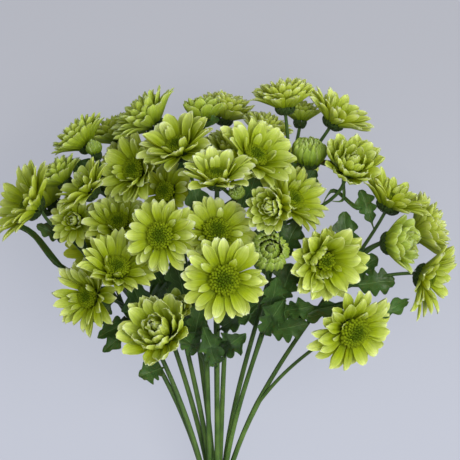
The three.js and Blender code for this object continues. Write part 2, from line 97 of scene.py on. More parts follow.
class Bloom:
    """One flower head: its middle, the way that it faces, the reach of its petals, where its stalk forks off
    as a share of its stem, and a point that the stalk bends towards."""

    def __init__(self, kind, at, face, reach, fork=None, by=None):
        self.kind, self.reach, self.fork = kind, reach, fork
        self.at = Vector(at)
        self.face = Vector(face).normalized()
        self.by = by and Vector(by)


class Spray:
    """One leafy stem: its place in the bundle as an angle and a ring, its flower heads, and its leaves, each
    as its root, its tip and its width."""

    def __init__(self, slot, ring, blooms, leaves):
        self.slot, self.ring, self.blooms = radians(slot), ring, blooms
        self.leaves = [(Vector(root), Vector(tip), width) for root, tip, width in leaves]


SPRAYS = [
    Spray(80, OUTER_RING, [
        Bloom("cup", (1.5, 200, 149.5), (0, 0.88, 0.47), 27, by=(2, 225, 90)),
        Bloom("open", (1, 166, 127), (0.08, 0.36, 0.93), 27, 0.6),
        Bloom("open", (6.5, 137, 152), (0, -0.12, 1), 29, 0.42),
        Bloom("bud", (14, 192, 134), (0.1, 0.4, 0.9), 9, 0.9),
    ], [
        ((2, 70, 75), (-8, 104, 112), 18),
        ((3, 80, 80), (20, 100, 118), 20),
        ((4, 95, 100), (28, 120, 122), 18),
    ]),
    Spray(120, OUTER_RING, [
        Bloom("cup", (-23, 221, 113), (-0.37, 0.73, 0.57), 29, by=(-7, 202, 98)),
        Bloom("open", (-34, 165, 138), (-0.3, 0.05, 0.95), 26, 0.5),
        Bloom("half", (-25, 117, 112), (-0.1, 0.2, 1), 15, 0.36),
        Bloom("rose", (-34, 100, 134), (-0.35, 0.4, 0.85), 30, 0.3),
    ], [
        ((-20, 75, 80), (-24, 100, 104), 16),
        ((-22, 90, 85), (-8, 122, 104), 16),
        ((-22, 110, 90), (-27, 150, 104), 22),
        ((-8, 165, 88), (-15, 200, 110), 19),
    ]),
    Spray(160, OUTER_RING, [
        Bloom("double", (-93.5, 175, 77.3), (-0.3, 0.05, 0.95), 19),
        Bloom("star", (-65, 141, 120), (0.05, 0.6, 0.8), 29, 0.55),
        Bloom("star", (-82, 125, 100), (-0.6, -0.05, 0.8), 27, 0.5),
    ], [
        ((-26, 80, 60), (-52, 69, 66), 17),
        ((-45, 98, 75), (-80, 96, 82), 14),
        ((-45, 98, 75), (-76, 86, 76), 12),
        ((-60, 118, 85), (-84, 108, 82), 16),
        ((-40, 95, 75), (-56, 134, 92), 26),
    ]),
    Spray(140, INNER_RING, [
        Bloom("cup", (-52, 208, 89.3), (-0.55, 0.2, 0.8), 27, by=(-53, 202, 66)),
        Bloom("open", (-31, 194, 91), (-0.5, 0.15, 0.85), 21, 0.7),
        Bloom("cup", (-65, 171, 88.5), (-0.1, 0.6, 0.78), 25, 0.6),
        Bloom("cup", (-83, 194, 100), (-0.72, 0.65, 0.25), 24, 0.5, (-82, 208, 60)),
    ], [
        ((-30, 125, 80), (-48, 120, 104), 18),
        ((-20, 120, 85), (-42, 142, 98), 26),
    ]),
    Spray(200, OUTER_RING, [
        Bloom("goblet", (-113, 185, 49), (-0.6, 0.75, 0), 29),
        Bloom("star", (-121, 184, 95), (-0.82, 0.4, 0.4), 32, 0.8, (-110, 166, 63)),
        Bloom("young", (-102, 201, 80), (-0.6, 0.75, 0.1), 21, 0.75, (-96, 190, 60)),
        Bloom("back", (-80, 155, 34), (-0.35, 0.1, -0.9), 25, 0.55),
    ], [
        ((-92, 140, 50), (-141, 163, 62), 7),
        ((-98, 156, 55), (-122, 172, 62), 12),
        ((-70, 120, 50), (-96, 134, 60), 16),
    ]),
    Spray(240, OUTER_RING, [
        Bloom("young", (-87, 226, 78), (-0.66, 0.74, 0.05), 24, by=(-78, 212, 56)),
        Bloom("young", (-66, 230, 50), (-0.4, 0.85, 0), 23, 0.8),
        Bloom("bud", (-80, 220, 92), (-0.3, 0.9, 0.3), 9, 0.78),
        Bloom("back", (-48, 205, 21.8), (-0.2, 0.65, -0.7), 26, 0.7),
    ], [
        ((-60, 170, 55), (-66, 206, 55), 18),
        ((-75, 185, 55), (-99, 216, 64), 18),
    ]),
    Spray(260, INNER_RING, [
        Bloom("young", (-41.5, 239, 83), (-0.66, 0.74, 0.1), 29.5, by=(-32, 214, 64)),
        Bloom("cup", (-60, 216, 66), (-0.3, 0.65, 0.7), 17, 0.8),
        Bloom("half", (-8, 243, 82), (-0.05, 0.98, 0.1), 20, 0.75),
        Bloom("back", (0, 160, 26), (0, 0.5, -0.85), 24, 0.5),
    ], [
        ((-5, 222, 85), (-13, 246, 98), 10),
        ((-15, 190, 80), (-12, 230, 92), 18),
    ]),
    Spray(280, OUTER_RING, [
        Bloom("goblet", (6, 245, 50), (0.25, 0.93, 0.15), 23.5),
        Bloom("goblet", (32.5, 232, 71), (0.25, 0.93, 0.2), 21, 0.8),
        Bloom("back", (48, 205, 22.3), (0.2, 0.65, -0.7), 26, 0.7),
    ], [
        ((5, 90, 40), (-22, 120, 18), 22),
        ((12, 110, 40), (40, 118, 22), 22),
    ]),
    Spray(320, OUTER_RING, [
        Bloom("goblet", (47, 251, 92), (-0.08, 0.97, 0.2), 25, by=(60, 160, 54)),
        Bloom("young", (58, 243, 58), (0.1, 0.95, 0), 17, 0.8),
        Bloom("star", (80, 242, 80), (0.5, 0.78, 0.35), 27, 0.76),
        Bloom("back", (77, 146, 34), (0.35, 0.1, -0.9), 25, 0.5),
    ], [
        ((60, 200, 75), (77, 226, 84), 10),
        ((50, 185, 60), (68, 210, 64), 18),
    ]),
    Spray(20, INNER_RING, [
        Bloom("cup", (25, 215, 108), (0.42, 0.6, 0.68), 29),
        Bloom("goblet", (8, 219, 90), (-0.1, 0.8, 0.55), 20, 0.8),
        Bloom("bud", (63, 215, 92), (0.1, 0.85, 0.5), 19, 0.7),
        Bloom("rose", (89, 209, 104), (0.25, 0.5, 0.83), 25, 0.62, (86, 176, 68)),
    ], [
        ((60, 200, 80), (50, 219, 92), 9),
        ((80, 182, 76), (98, 191, 86), 6),
        ((83, 186, 80), (93, 203, 88), 4.5),
        ((20, 180, 92), (28, 207, 106), 16),
    ]),
    Spray(0, OUTER_RING, [
        Bloom("star", (117, 185, 82), (0.42, 0.86, 0.28), 29),
        Bloom("goblet", (137, 167, 54), (0.88, 0.3, 0.2), 29, 0.8),
        Bloom("star", (140, 138, 76), (0.88, -0.3, 0.37), 29, 0.62),
        Bloom("half", (116, 160, 100), (0.88, 0.05, 0.45), 25, 0.7),
        Bloom("open", (90, 103, 106), (0.45, -0.4, 0.8), 31, 0.25, (68, 90, 96)),
    ], [
        ((84, 150, 75), (87, 181, 90), 19),
        ((86, 110, 90), (130, 121, 84), 12),
        ((92, 125, 65), (122, 134, 70), 20),
        ((80, 135, 70), (110, 150, 82), 20),
        ((108, 172, 74), (98, 196, 84), 13),
    ]),
    Spray(40, OUTER_RING, [
        Bloom("star", (49, 187, 101), (0.6, 0.45, 0.65), 27.5, by=(52, 125, 84)),
        Bloom("rose", (39, 184, 142), (-0.35, -0.05, 0.93), 20, 0.7),
        Bloom("bud", (35, 152, 130), (0.1, 0.3, 0.95), 22, 0.55),
        Bloom("bowl", (72, 149, 116), (0.3, -0.2, 0.93), 27, 0.5),
    ], [
        ((60, 100, 75), (88, 120, 86), 13),
        ((30, 95, 75), (46, 122, 104), 18),
        ((40, 110, 85), (66, 118, 98), 16),
        ((35, 98, 78), (62, 106, 90), 20),
        ((30, 105, 90), (41, 137, 112), 18),
        ((45, 112, 90), (52, 146, 96), 24),
        ((40, 145, 95), (56, 174, 96), 20),
        ((28, 135, 90), (34, 176, 106), 22),
    ]),
]


class Ring:
    """A ring of petals: their number, the radius of their roots as a share of the core's, their length as a
    share of the longest, their lift at the root and at the tip in degrees, and their width as a share of the
    reach. Stray petals stand anywhere on an arc, which is given as two shares of a turn."""

    def __init__(self, count, root, length, lift, tip, width, arc=None):
        self.count, self.root, self.length, self.lift, self.tip = count, root, length, lift, tip
        self.width, self.arc = width, arc


WHOLE_TURN = (0, 1)
FULL_DISC = 96
SMALL_DISC = 40


class Kind:
    """How far open a flower head is: the radius of its core as a share of its reach, the radius of its disc
    as a share of its core, the rise of the disc as a share of its own radius, how green it still is, which on
    shaded goblets is painted shade, its rings from the outside in, how far its petals scatter from their
    places, how much deeper their hollow is and how much blunter their tips are than plain ones, and the
    florets on its disc."""

    def __init__(self, core, disc, rise, green, rings, scatter=1.0, deeper=1.0, blunter=1.0,
                 florets=SMALL_DISC):
        self.core, self.disc, self.rise, self.green, self.rings = core, disc, rise, green, rings
        self.scatter, self.deeper, self.blunter, self.florets = scatter, deeper, blunter, florets


GOBLET_RINGS = [
    Ring(20, 0.95, 1, 34, 26, 0.28),
    Ring(18, 0.88, 0.97, 46, 42, 0.26),
    Ring(15, 0.75, 0.9, 58, 60, 0.22),
    Ring(9, 0.5, 0.8, 72, 80, 0.18),
]

KINDS = {
    "open": Kind(core=0.34, disc=0.98, rise=0.36, green=0.05, florets=FULL_DISC, rings=[
        Ring(17, 0.95, 1, 8, -6, 0.3),
        Ring(14, 0.9, 0.9, 20, 8, 0.27),
        Ring(4, 0.85, 0.52, 34, 20, 0.16, WHOLE_TURN),
    ]),
    "cup": Kind(core=0.3, disc=0.95, rise=0.36, green=0.08, blunter=1.15, florets=FULL_DISC, rings=[
        Ring(15, 0.95, 1.02, 30, 16, 0.35),
        Ring(13, 0.9, 0.95, 46, 38, 0.32),
        Ring(6, 0.8, 0.6, 60, 85, 0.17, WHOLE_TURN),
    ]),
    "star": Kind(core=0.3, disc=0.95, rise=0.36, green=0.08, blunter=0.6, florets=FULL_DISC, rings=[
        Ring(16, 0.95, 1.05, 30, 18, 0.27),
        Ring(13, 0.9, 0.98, 44, 38, 0.24),
        Ring(6, 0.8, 0.6, 60, 80, 0.15, WHOLE_TURN),
    ]),
    "bowl": Kind(core=0.3, disc=0.7, rise=0.2, green=0.02, scatter=0.9, deeper=1.3, rings=[
        Ring(14, 0.97, 1.14, 34, 18, 0.42),
        Ring(12, 0.9, 1.04, 48, 40, 0.4),
        Ring(13, 0.9, 0.84, 46, 118, 0.18, (0.28, 0.68)),
        Ring(5, 0.8, 0.4, 60, 70, 0.14, (0.65, 0.95)),
    ]),
    "goblet": Kind(core=0.28, disc=0.8, rise=0.4, green=0.06, scatter=0.6, rings=GOBLET_RINGS),
    # Shaded goblets: goblets whose deeper green is painted shade, on heads that face away from the light.
    "young": Kind(core=0.28, disc=0.8, rise=0.4, green=0.45, scatter=0.6, rings=GOBLET_RINGS),
    "double": Kind(core=0.32, disc=0.5, rise=0.36, green=0.12, scatter=0.8, rings=[
        Ring(14, 0.95, 1, 18, 6, 0.32),
        Ring(12, 0.86, 0.88, 34, 30, 0.3),
        Ring(10, 0.64, 0.64, 54, 105, 0.24),
        Ring(7, 0.4, 0.54, 66, 130, 0.2),
        Ring(4, 0.18, 0.46, 78, 120, 0.17),
    ]),
    "rose": Kind(core=0.32, disc=0.5, rise=0.36, green=0.12, scatter=0.75, deeper=1.3, blunter=1.1, rings=[
        Ring(13, 0.95, 1.1, 41, 56, 0.42),
        Ring(10, 0.86, 1, 54, 80, 0.39),
        Ring(8, 0.64, 0.84, 64, 112, 0.28),
        Ring(6, 0.42, 0.78, 72, 124, 0.22),
        Ring(4, 0.18, 0.7, 80, 112, 0.18),
    ]),
    "half": Kind(core=0.32, disc=0.5, rise=0.36, green=0.55, scatter=0.6, deeper=1.5, rings=[
        Ring(9, 0.95, 1.05, 48, 58, 0.46),
        Ring(7, 0.82, 1, 60, 78, 0.44),
        Ring(5, 0.55, 0.9, 72, 96, 0.38),
        Ring(3, 0.25, 0.8, 82, 104, 0.3),
    ]),
    "bud": Kind(core=0.42, disc=0.4, rise=0.36, green=0.75, scatter=0.45, deeper=2.4, rings=[
        Ring(13, 1.04, 1.36, 54, 150, 0.34),
        Ring(12, 0.86, 1.32, 62, 144, 0.28),
        Ring(9, 0.6, 1.24, 72, 134, 0.24),
        Ring(6, 0.3, 1.16, 82, 124, 0.2),
    ]),
    "back": Kind(core=0.3, disc=0.9, rise=0.4, green=0.2, rings=[
        Ring(15, 0.95, 1, 26, 16, 0.32),
        Ring(12, 0.86, 0.88, 42, 36, 0.28),
    ]),
}

low_corner, high_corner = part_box("elastic_band")
SHIFT = Matrix.Translation((low_corner + high_corner) / 2 - WAIST * MM)
TO_FRAME = SHIFT @ Matrix.Scale(MM, 4)

# ---- Finishes ----

WHITE = (1, 1, 1)

# Petals from root to tip on both faces, fresh green ones, and the edges of those. The deep olive at the
# # roots is partly the petals' own colour and partly painted shade near the disc.
ROOT_OLIVE = (0.13, 0.185, 0.002)
FACE_LIME = (0.265, 0.345, 0.007)
FACE_PALE = (0.64, 0.73, 0.22)
BACK_ROOT = (0.14, 0.2, 0.003)
BACK_LIME = (0.3, 0.39, 0.009)
BACK_PALE = (0.56, 0.65, 0.14)
YOUNG_AND_SHADED_ROOT = (0.05, 0.11, 0.003)
YOUNG_AND_SHADED_TIP = (0.31, 0.47, 0.07)
EDGE_LIME = (0.68, 0.77, 0.3)

# Florets from closed to open, and the painted shade low down on each and on the dome between them.
CLOSED_GREEN = (0.045, 0.08, 0.001)
OPENING_GREEN = (0.12, 0.17, 0.003)
OPEN_LIME = (0.15, 0.2, 0.004)
RIM_LIME = (0.12, 0.16, 0.003)
FLORET_SHADE_GREEN = (0.045, 0.07, 0.002)

LEAF_GREEN = (0.03, 0.068, 0.013)
LEAF_VEIN = (0.15, 0.25, 0.08)
UNDERSIDE_GREEN = (0.07, 0.13, 0.06)
UNDERSIDE_VEIN = (0.16, 0.24, 0.13)
STEM_DARK = (0.035, 0.08, 0.015)
STEM_LIGHT = (0.1, 0.18, 0.036)
BRACT_DARK = (0.018, 0.04, 0.006)
BRACT_LIGHT = (0.055, 0.1, 0.016)
RUBBER_DARK = (0.42, 0.27, 0.11)
RUBBER_LIGHT = (0.52, 0.36, 0.17)

# How closely the fine patterns repeat over the width or the length of a piece, in radians.
PETAL_VEINS = 34
PETAL_CHANNELS = 4 * math.pi
LEAF_VEINS = 18
LEAF_VEIN_SLANT = 7
STEM_STREAKS = 75

# The stretch along the bunch over which painted shade darkens the stems towards the flower heads, in metres.
STEMS_LIGHT_AT = -0.05
STEMS_DARK_AT = 0.04


def toned(colour, factor):
    return tuple(part * factor for part in colour)


def towards(first, second, share):
    """The colour a share of the way from the first to the second."""
    return tuple(a + (b - a) * share for a, b in zip(first, second))


class Socket:
    """An output of a shader node. Python's operators on it add Math nodes."""

    def __init__(self, finish, link):
        self.finish, self.link = finish, link

    def maths(self, operation, *values):
        return self.finish.node("ShaderNodeMath", {"operation": operation}, dict(enumerate(values)))[0]

    def __add__(self, other):
        return self.maths("ADD", self, other)

    def __sub__(self, other):
        return self.maths("SUBTRACT", self, other)

    def __rsub__(self, other):
        return self.maths("SUBTRACT", other, self)

    def __mul__(self, other):
        return self.maths("MULTIPLY", self, other)

    def __pow__(self, other):
        return self.maths("POWER", self, other)

    def __abs__(self):
        return self.maths("ABSOLUTE", self)

    def sine(self):
        return self.maths("SINE", self)

    def cosine(self):
        return self.maths("COSINE", self)

    def at_least(self, other):
        return self.maths("MAXIMUM", self, other)

    __radd__ = __add__
    __rmul__ = __mul__


class Finish:
    """A material: one shader whose plain values are set at once, and the nodes that vary over the surface."""

    def __init__(self, name, **plain):
        self.material = bpy.data.materials.new(name)
        self.material.use_nodes = True
        self.tree = self.material.node_tree
        self.tree.nodes.clear()
        surface = self.node("ShaderNodeBsdfPrincipled", {}, {})
        self.shader = surface[0].link.node
        self.node("ShaderNodeOutputMaterial", {}, {"Surface": surface[0]})
        self.set(**plain)

    def node(self, kind, settings, inputs):
        """Adds a node with its settings, feeds its inputs, and returns its outputs."""
        made = self.tree.nodes.new(kind)
        for key, value in settings.items():
            if key == "stops":
                ramp = made.color_ramp.elements
                while len(ramp) < len(value):
                    ramp.new(1)
                for stop, (place, colour) in zip(ramp, value):
                    stop.position, stop.color = place, (*colour, 1)
            else:
                setattr(made, key, value)
        for key, value in inputs.items():
            self.feed(made.inputs[key], value)
        return [Socket(self, output) for output in made.outputs]

    def feed(self, entry, value):
        if isinstance(value, Socket):
            self.tree.links.new(value.link, entry)
        elif entry.type == "RGBA":
            entry.default_value = (*value, 1)
        else:
            entry.default_value = value

    def set(self, **values):
        for key, value in values.items():
            self.feed(self.shader.inputs[key.replace("_", " ")], value)

    def mix(self, factor, first, second):
        return self.node("ShaderNodeMix", {"data_type": "RGBA"}, {0: factor, 6: first, 7: second})[2]

    def ramp(self, factor, *stops):
        return self.node("ShaderNodeValToRGB", {"stops": stops}, {0: factor})[0]

    def between(self, value, low, high, start=0, end=1):
        """The value on its way from low to high, as a number from start to end."""
        return self.node("ShaderNodeMapRange", {"interpolation_type": "SMOOTHSTEP"},
                         {0: value, 1: low, 2: high, 3: start, 4: end})[0]

    def object_place(self):
        return self.node("ShaderNodeTexCoord", {}, {})[3]

    def parts(self, vector):
        return self.node("ShaderNodeSeparateXYZ", {}, {0: vector})

    def along_and_across(self):
        return self.parts(self.node("ShaderNodeUVMap", {"uv_map": "UVMap"}, {})[0])[:2]

    def attribute(self, name):
        return self.node("ShaderNodeAttribute", {"attribute_name": name}, {})[2]

    def noise(self, scale, detail=2):
        inputs = {"Vector": self.object_place(), "Scale": scale, "Detail": detail}
        return self.node("ShaderNodeTexNoise", {}, inputs)[0]

    def bump(self, height, distance, strength=1.0):
        relief = {"Height": height, "Distance": distance, "Strength": strength}
        self.set(Normal=self.node("ShaderNodeBump", {}, relief)[0])


def petal_finish(name, root, body, tip, veins):
    """Petals are deep olive at the root, partly their own colour and partly painted shade near the disc, and
    pale at the tip, with fine veins and painted shade in two shallow channels. The greener ones are fresh
    green with pale edges."""
    finish = Finish(name, Specular_IOR_Level=0.05, Subsurface_Weight=0.4, Subsurface_Radius=(1.0, 0.95, 0.2),
                    Subsurface_Scale=0.003)
    along, across = finish.along_and_across()
    tone, green = finish.attribute("tone"), finish.attribute("green")
    # The deep olive at the root is partly the petals' own colour and partly painted shade near the disc.
    colour = finish.ramp(along + (tone - 0.5) * 0.25, (0.02, root), (0.34, body),
                         (0.66, towards(body, tip, 0.3)), (0.9, tip), (1, towards(tip, WHITE, 0.25)))
    # The fresh green of buds and half-open heads is their own. On shaded goblets it is painted shade.
    colour = finish.mix(green, colour, finish.mix(along ** 1.5, YOUNG_AND_SHADED_ROOT, YOUNG_AND_SHADED_TIP))
    edge = finish.between(abs(across - 0.5), 0.34, 0.5) * along
    colour = finish.mix(edge * finish.between(green, 0.3, 1, 0.1, 0.8), colour, EDGE_LIME)
    cloudy = finish.noise(160)
    # Painted shade in the two channels, mixed with the petals' own fine veins.
    channel = (across * PETAL_CHANNELS).cosine() * -0.5 + 0.5
    vein = (across * PETAL_VEINS + cloudy * 4).sine() * 0.5 + 0.5
    shade = channel * 0.5 + vein * 0.5
    finish.set(Base_Color=finish.mix(shade * veins, colour, root),
               Roughness=finish.between(cloudy, 0.3, 0.8, 0.42, 0.58))
    finish.bump(shade * -0.8 + cloudy * 0.2, 0.0003, 0.6)
    return finish.material


def disc_finish():
    """Closed florets in the middle of a disc are deep green, and open ones towards its edge are lime. Painted
    shade darkens the florets low down and the dome between them.
    """
    finish = Finish("disc_florets", Specular_IOR_Level=0.05, Roughness=0.65, Subsurface_Weight=0.3,
                    Subsurface_Radius=(1.0, 0.95, 0.35), Subsurface_Scale=0.002)
    tone, opened, depth = (finish.attribute(name) for name in ("tone", "opened", "depth"))
    colour = finish.ramp(opened + (tone - 0.5) * 0.2, (0, CLOSED_GREEN), (0.4, OPENING_GREEN),
                         (0.8, OPEN_LIME), (1, RIM_LIME))
    # Painted shade: the low parts of the florets and the dome between them are darker.
    finish.set(Base_Color=finish.mix(depth * 0.6 + 0.4, FLORET_SHADE_GREEN, colour))
    finish.bump(finish.noise(900), 0.0002)
    return finish.material


def leaf_finish(name, green, pale, roughness, veins):
    """Leaves have a pale midrib with side veins that run forwards out of it."""
    finish = Finish(name, Specular_IOR_Level=0.22, Subsurface_Weight=0.08, Subsurface_Scale=0.002)
    along, across = finish.along_and_across()
    out = abs(across - 0.5) * 2
    cloudy = finish.noise(70, 3)
    midrib = finish.between(out, 0.0, 0.07, 1, 0)
    wave = (along * LEAF_VEINS - out * LEAF_VEIN_SLANT + cloudy * 1.5).sine()
    vein = midrib.at_least(finish.between(abs(wave), 0, 0.2, 1, 0) * 0.5)
    colour = finish.mix(finish.between(cloudy, 0.3, 0.7), green, toned(green, 1.7))
    finish.set(Base_Color=finish.mix(vein * veins, colour, pale),
               Roughness=finish.between(cloudy, 0.3, 0.8, roughness - 0.07, roughness + 0.07))
    finish.bump(vein * -0.6 + finish.noise(500) * 0.4, 0.0006, 0.7)
    return finish.material


def stem_finish(name, dark, light, roughness=0.5):
    """Stems are streaked along their ribs, and painted shade darkens them towards the flower heads."""
    finish = Finish(name, Specular_IOR_Level=0.2, Subsurface_Weight=0.05, Subsurface_Scale=0.002)
    across = finish.along_and_across()[1]
    cloudy = finish.noise(60, 3)
    streak = (across * STEM_STREAKS + cloudy * 6).sine() * 0.5 + 0.5
    colour = finish.mix(finish.between(cloudy + streak * 0.25, 0.35, 0.85), dark, light)
    up_the_bunch = finish.parts(finish.object_place())[1]
    # Painted shade: the stems grow darker up among the flower heads.
    painted_shade = finish.between(up_the_bunch, STEMS_LIGHT_AT, STEMS_DARK_AT, 0, 0.6)
    finish.set(Base_Color=finish.mix(painted_shade, colour, toned(dark, 0.5)),
               Roughness=finish.between(cloudy, 0.3, 0.8, roughness - 0.08, roughness + 0.08))
    finish.bump(streak * 0.6 + finish.noise(700) * 0.4, 0.0004, 0.5)
    return finish.material


def rubber_finish():
    """Plain tan rubber, a little mottled."""
    finish = Finish("tan_rubber", Specular_IOR_Level=0.4)
    cloudy = finish.noise(220, 3)
    finish.set(Base_Color=finish.mix(finish.between(cloudy, 0.3, 0.7), RUBBER_DARK, RUBBER_LIGHT),
               Roughness=finish.between(cloudy, 0.3, 0.7, 0.5, 0.7))
    finish.bump(finish.noise(1500), 0.0001)
    return finish.material


# veins sets how far the fine veins and the painted shade in the channels darken the petals.
PETAL_FACE = petal_finish("petal_face", ROOT_OLIVE, FACE_LIME, FACE_PALE, veins=0.2)
PETAL_BACK = petal_finish("petal_back", BACK_ROOT, BACK_LIME, BACK_PALE, veins=0.22)
DISC = disc_finish()
LEAF_FACE = leaf_finish("leaf_face", LEAF_GREEN, LEAF_VEIN, roughness=0.45, veins=0.6)
LEAF_BACK = leaf_finish("leaf_back", UNDERSIDE_GREEN, UNDERSIDE_VEIN, roughness=0.6, veins=0.6)
STEM = stem_finish("stem_green", STEM_DARK, STEM_LIGHT)
BRACT = stem_finish("bract_green", BRACT_DARK, BRACT_LIGHT, roughness=0.6)
RUBBER = rubber_finish()

# ---- Modelling ----

# How near a vertex lies to a line that it is picked by, on pieces that are 1 long.
NEAR = 0.01
SMOOTH_ANGLE = 50
ROUND_ANGLE = 60

masters = []


def deselect():
    bpy.ops.object.select_all(action="DESELECT")


def edit_mode(on):
    bpy.ops.object.mode_set(mode="EDIT" if on else "OBJECT")


def select_whole_mesh():
    bpy.ops.mesh.select_all(action="SELECT")


def move(x, y, z):
    bpy.ops.transform.translate(value=(x, y, z))


def stretch(x, y, z, centre=(0, 0, 0)):
    bpy.ops.transform.resize(value=(x, y, z), center_override=centre)


def choose(piece):
    deselect()
    piece.select_set(True)
    bpy.context.view_layer.objects.active = piece


def add(primitive, name, finishes, **size):
    """Adds a primitive with its finishes, alone selected, its place in its mesh."""
    deselect()
    primitive(**size)
    made = bpy.context.object
    made.name = name
    bpy.ops.object.transform_apply(location=True, rotation=True, scale=True)
    for finish in finishes:
        made.data.materials.append(finish)
    return made


def pick(test):
    """Selects the vertices of the mesh in edit mode whose places pass the test."""
    mesh = bpy.context.object.data
    shape = bmesh.from_edit_mesh(mesh)
    for vertex in shape.verts:
        vertex.select_set(bool(test(vertex.co)))
    shape.select_flush_mode()
    bmesh.update_edit_mesh(mesh)


def pick_faces(test):
    """Selects the faces of the mesh in edit mode whose normals pass the test."""
    mesh = bpy.context.object.data
    bpy.ops.mesh.select_mode(type="FACE")
    bpy.ops.mesh.select_all(action="DESELECT")
    shape = bmesh.from_edit_mesh(mesh)
    for face in shape.faces:
        face.select_set(test(face.normal))
    bmesh.update_edit_mesh(mesh)


def apply_modifier(piece, kind, **settings):
    modifier = piece.modifiers.new(kind.lower(), kind)
    for key, value in settings.items():
        setattr(modifier, key, value)
    choose(piece)
    bpy.ops.object.modifier_apply(modifier=modifier.name)


def smooth(piece, angle=SMOOTH_ANGLE):
    choose(piece)
    bpy.ops.object.shade_smooth_by_angle(angle=radians(angle))


def mark(piece, **values):
    """Writes the same number to every vertex of a piece, under each name."""
    count = len(piece.data.vertices)
    for name, value in values.items():
        layer = piece.data.attributes.get(name) or piece.data.attributes.new(name, "FLOAT", "POINT")
        layer.data.foreach_set("value", [value] * count)


def master(piece):
    """Keeps a piece that is copied, so that it can be deleted at the end."""
    masters.append(piece)
    return piece


def copy_of(original, matrix, **values):
    """A copy of a master with a mesh of its own, at a place."""
    made = original.copy()
    made.data = original.data.copy()
    bpy.context.scene.collection.objects.link(made)
    made.matrix_world = matrix
    mark(made, **values)
    return made


def joined(name, pieces, matrix=None):
    """The pieces as one mesh with its object at the origin, after a move by the matrix."""
    choose(pieces[0])
    for piece in pieces:
        piece.select_set(True)
    bpy.ops.object.join()
    whole = bpy.context.object
    whole.name = whole.data.name = name
    if matrix is not None:
        whole.matrix_world = matrix @ whole.matrix_world
    bpy.ops.object.transform_apply(location=True, rotation=True, scale=True)
    return whole


def half_ball(name, finish, segments, upper):
    """The upper or the lower half of a ball with radius 1, closed with a flat face."""
    ball = add(bpy.ops.mesh.primitive_uv_sphere_add, name, (finish,), segments=segments, ring_count=12,
               radius=1)
    edit_mode(True)
    select_whole_mesh()
    bpy.ops.mesh.bisect(plane_co=(0, 0, 0), plane_no=(0, 0, 1), clear_inner=upper, clear_outer=not upper,
                        use_fill=True)
    edit_mode(False)
    return ball


def upright_to(direction):
    """The turn that brings the +Z of a master to a direction."""
    return UP.rotation_difference(direction).to_matrix().to_4x4()


# While a blade is shaped row by row, the finished rows wait this far off, so that none is picked twice.
ASIDE = 2
THINNEST = 0.02
SWAY_PLACES = (0.4, 0.6, 0.8)


def blade(name, finishes, stations, rows, thickness, bend=(), channel=(), notch=0.0, slant=0.0, sway=0.0,
          rounding=0.0, finer=0):
    """A thin blade from the origin to 1 on X, half as wide to each side as the stations say.

    stations are places along it with the width there, and rows is the number of faces across. bend gives
    hinges as a place with an upward angle, and channel the rise of each line of vertices from the middle
    outwards. slant carries those lines forwards, the outermost the furthest. notch draws back the middle of
    the tip and rounding its corners, and sway moves it to one side. finer is how often the faces are
    divided and smoothed."""
    steps = len(stations) - 1
    piece = add(bpy.ops.mesh.primitive_grid_add, name, finishes,
                x_subdivisions=steps, y_subdivisions=rows, size=1, location=(0.5, 0, 0))

    def slanted(co):
        return slant * round(abs(co.y) * rows) / rows * 2

    edit_mode(True)
    for line, rise in enumerate(channel):
        out = line / rows
        pick(lambda co: abs(abs(co.y) - out) < NEAR)
        move(0, 0, rise)
    if slant:
        for line in range(1, rows // 2 + 1):
            out = line / rows
            pick(lambda co: abs(abs(co.y) - out) < NEAR and NEAR < co.x < 1 - NEAR)
            move(slant * out * 2, 0, 0)
    for step in reversed(range(steps + 1)):
        place, width = stations[step]
        old = step / steps
        at_an_end = step in (0, steps)
        pick(lambda co: abs(co.x - old - (0 if at_an_end else slanted(co))) < NEAR)
        stretch(1, max(width, THINNEST), 0.4 + 0.6 * width, (old, 0, 0))
        move(place - old + ASIDE, 0, 0)
    select_whole_mesh()
    move(-ASIDE, 0, 0)
    if notch:
        pick(lambda co: co.x > 0.995 and abs(co.y) < NEAR)
        move(-notch, 0, 0)
    if rounding:
        corner = stations[-1][1] * 0.4
        pick(lambda co: co.x > 0.95 and abs(co.y) > corner)
        move(-rounding, 0, 0)
    if sway:
        for place in SWAY_PLACES:
            pick(lambda co: co.x > place)
            move(0, sway / len(SWAY_PLACES), 0)
    for place, angle in sorted(bend, reverse=True):
        pick(lambda co: co.x > place + NEAR)
        bpy.ops.transform.rotate(value=radians(angle), orient_axis="Y", center_override=(place, 0, 0))
    edit_mode(False)
    if finer:
        apply_modifier(piece, "SUBSURF", levels=finer, boundary_smooth="ALL")
    apply_modifier(piece, "SOLIDIFY", thickness=thickness, offset=-1, material_offset=len(finishes) - 1)
    smooth(piece)
    return piece


# ---- Petals and discs ----

BLADE_THICKNESS = 0.012
# The place of each hinge along a petal, and its share of the bend.
PETAL_HINGES = ((0.22, 0.15), (0.48, 0.3), (0.72, 0.3), (0.9, 0.25))
# Hinges beyond this place share the petal's own curl.
CURL_FROM = 0.7
TIP_ROUNDING = 0.045
# Four petals of a ring. Each has its hollow, the width of its tip, the notch in it, its own curl there in
# degrees, and how far it sways to one side.
PETAL_FORMS = (
    {"hollow": 0.07, "end": 0.33, "notch": 0.0, "curl": 0, "sway": 0.0},
    {"hollow": 0.11, "end": 0.38, "notch": 0.03, "curl": 26, "sway": 0.05},
    {"hollow": 0.05, "end": 0.35, "notch": 0.0, "curl": -24, "sway": -0.04},
    {"hollow": 0.13, "end": 0.22, "notch": 0.0, "curl": 10, "sway": -0.07},
)

GOLDEN_ANGLE = radians(137.508)
DISC_SEED = 3
DOME_RADIUS = 0.96
# Florets lean outwards by this many degrees at the middle of the disc, and by this much more at its edge.
LEAN = 8
EDGE_LEAN = 34


